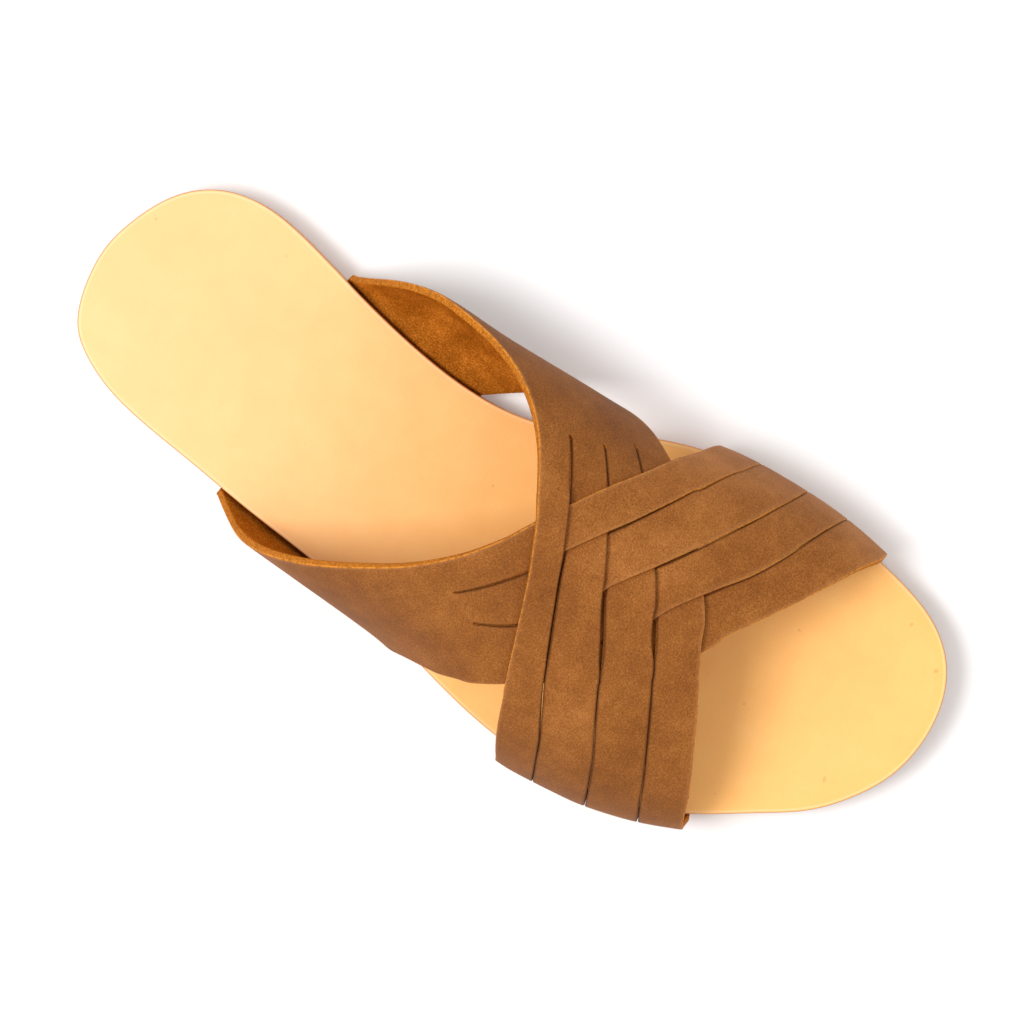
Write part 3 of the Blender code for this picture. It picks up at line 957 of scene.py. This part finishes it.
def raw_edge():
    """Bright orange cut edge with dark pits between its fibres."""
    f = Finish("strap_edge", 0.9, 0.15)
    fibre = f.noise(2300, 4, 0.75)
    pit = f.noise(900, 3, 0.6).between(0.52, 0.68)
    colour = f.ramp(
        fibre,
        (0.35, (0.32, 0.088, 0.005)),
        (0.5, (0.48, 0.150, 0.011)),
        (0.66, (0.72, 0.265, 0.028)),
    )
    colour = f.mix(pit * 0.5, colour, (0.20, 0.052, 0.004, 1))
    return f.paint(colour, None, fibre, 0.0004, 1.0)


def footbed_leather():
    """Pale vegetable tanned leather, paler at the heel, more orange at the toe, faintly clouded.

    It has a few small dark pores, a painted highlight along its bevelled edge, and a brown edge.
    """
    f = Finish("footbed_leather", 0.5, 0.3)
    cloud = f.noise(14, 3, 0.5)
    mottle = f.noise(120, 5, 0.6)
    grain = f.noise(1700, 3, 0.6)
    tone = cloud * 0.45 + mottle * 0.35 + grain * 0.2
    heel = f.ramp(
        tone,
        (0.32, (0.92, 0.47, 0.190)),
        (0.5, (0.95, 0.51, 0.212)),
        (0.68, (0.97, 0.55, 0.245)),
    )
    toe = f.ramp(
        tone,
        (0.32, (0.92, 0.440, 0.117)),
        (0.5, (0.95, 0.490, 0.139)),
        (0.68, (0.97, 0.540, 0.170)),
    )
    length = f.node("ShaderNodeSeparateXYZ", {}, {"Vector": f.place}, "Y")
    colour = f.mix(length.between(-0.105, 0.03), heel, toe)
    pore = f.noise(420, 0, 0.5).between(0.85, 0.88)
    colour = f.mix(pore * 0.35, colour, (0.45, 0.20, 0.07, 1))
    inset = f.attribute("inset")
    # Painted highlight: a pale line along the rounded bevel just inside the edge
    bevel_highlight = inset.between(0.4, 0.6) * (1 - inset.between(0.8, 1.2))
    colour = f.mix(bevel_highlight * 0.35, colour, (0.97, 0.70, 0.42, 1))
    colour = f.mix(1 - inset.between(0.05, 0.42), colour, (0.50, 0.19, 0.075, 1))
    rough = 0.42 + grain * 0.12 + mottle * 0.1
    return f.paint(colour, rough, grain * 0.5 + mottle * 0.5, 0.00008, 0.7)


def burnished_edge():
    """Edge of the sole, rubbed smooth: pinkish brown with fine lines along the layers."""
    f = Finish("sole_edge", 0.45, 0.4)
    layers = f.noise(60, 4, 0.6, (1.0, 1.0, 14.0))
    grain = f.noise(900, 3, 0.6)
    tone = layers * 0.7 + grain * 0.3
    colour = f.ramp(
        tone,
        (0.3, (0.38, 0.14, 0.055)),
        (0.5, (0.58, 0.26, 0.12)),
        (0.7, (0.74, 0.38, 0.19)),
    )
    return f.paint(colour, None, tone, 0.00012, 0.8)


def outsole_leather():
    """Plain tan outsole leather."""
    f = Finish("outsole_leather", 0.6, 0.3)
    cloud = f.noise(30, 4, 0.6)
    grain = f.noise(1200, 3, 0.6)
    tone = cloud * 0.6 + grain * 0.4
    colour = f.ramp(
        tone,
        (0.3, (0.28, 0.12, 0.045)),
        (0.5, (0.40, 0.185, 0.075)),
        (0.7, (0.50, 0.25, 0.11)),
    )
    return f.paint(colour, None, grain, 0.0001, 0.7)


def add_camera():
    """Camera at its place, looking at its aim, with the toe turned down from the picture's right."""
    camera = bpy.data.cameras.new("camera")
    camera.lens = LENS
    camera.sensor_width = SENSOR_WIDTH
    thing = bpy.data.objects.new("camera", camera)
    place, aim = Vector(CAMERA_PLACE), Vector(CAMERA_AIM)
    back = (place - aim).normalized()
    # The picture's right hand direction, laid square to the view
    angle = np.radians(TOE_ANGLE)
    right = Vector((-np.sin(angle), np.cos(angle), 0.0))
    right = (right - right.dot(back) * back).normalized()
    up = back.cross(right)
    turned = Matrix((right, up, back)).transposed().to_4x4()
    thing.matrix_world = Matrix.Translation(place) @ turned
    bpy.context.scene.collection.objects.link(thing)
    bpy.context.scene.camera = thing


def studio():
    """Pale floor, even pale world, a light over the heel's outside and a wide weak one opposite."""
    floor = Finish("pale_floor", 0.8, 0.2)
    floor.shader.inputs["Base Color"].default_value = (FLOOR_TONE, FLOOR_TONE, FLOOR_TONE, 1)
    mesh = bpy.data.meshes.new("floor")
    half = FLOOR_HALF
    corners = [(-half, -half, 0), (half, -half, 0), (half, half, 0), (-half, half, 0)]
    mesh.from_pydata(corners, [], [(0, 1, 2, 3)])
    mesh.materials.append(floor.material)
    ground = bpy.data.objects.new("floor", mesh)
    bpy.context.scene.collection.objects.link(ground)
    world = bpy.data.worlds.new("studio")
    world.use_nodes = True
    background = world.node_tree.nodes["Background"]
    background.inputs["Color"].default_value = (1.0, 1.0, 1.0, 1)
    background.inputs["Strength"].default_value = WORLD_STRENGTH
    bpy.context.scene.world = world
    for label, place, size, power in LIGHTS:
        light = bpy.data.lights.new(label, "AREA")
        light.size = size
        light.energy = power
        lamp = bpy.data.objects.new(label, light)
        lamp.location = place
        lamp.rotation_euler = (-Vector(place)).to_track_quat("-Z", "Y").to_euler()
        bpy.context.scene.collection.objects.link(lamp)
    bpy.context.scene.view_settings.view_transform = "Standard"


add_camera()
studio()

# The shoe's middle in the tables' own frame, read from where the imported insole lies
outside_edge = outline_x(np.linspace(0, 2 * np.pi, 2000)).max()
MIDDLE = float(outside_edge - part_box("insole")[1][0] * 1000)

strap_finishes = [oiled_grain(), suede(), raw_edge()]
field_across, field_share, lifts = interlace()
inner_panel = panel("inner_panel", INNER_PANEL, OUTER_PANEL, INNER_SLITS, INNER_SLITS_START, 1,
                    (field_across, field_share, lifts[0]), strap_finishes, 3, INNER_PAINTED_LIGHT)
outer_panel = panel("outer_panel", OUTER_PANEL, INNER_PANEL, OUTER_SLITS, OUTER_SLITS_START, -1,
                    (field_across, field_share, lifts[1]), strap_finishes, 8, OUTER_PAINTED_LIGHT)

edge_finish = burnished_edge()
footbed = sole_body("footbed", footbed_levels(), [footbed_leather(), edge_finish], FOOTBED_FACES)
outsole = sole_body("sole", outsole_levels(), [outsole_leather(), edge_finish], OUTSOLE_FACES)

for piece, node, slot in (
    (inner_panel, "upper", "strap_leather"),
    (outer_panel, "upper", "strap_leather"),
    (footbed, "insole", "insole_leather"),
    (outsole, "outsole", "outsole_leather"),
):
    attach(piece, "root")
    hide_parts(node)
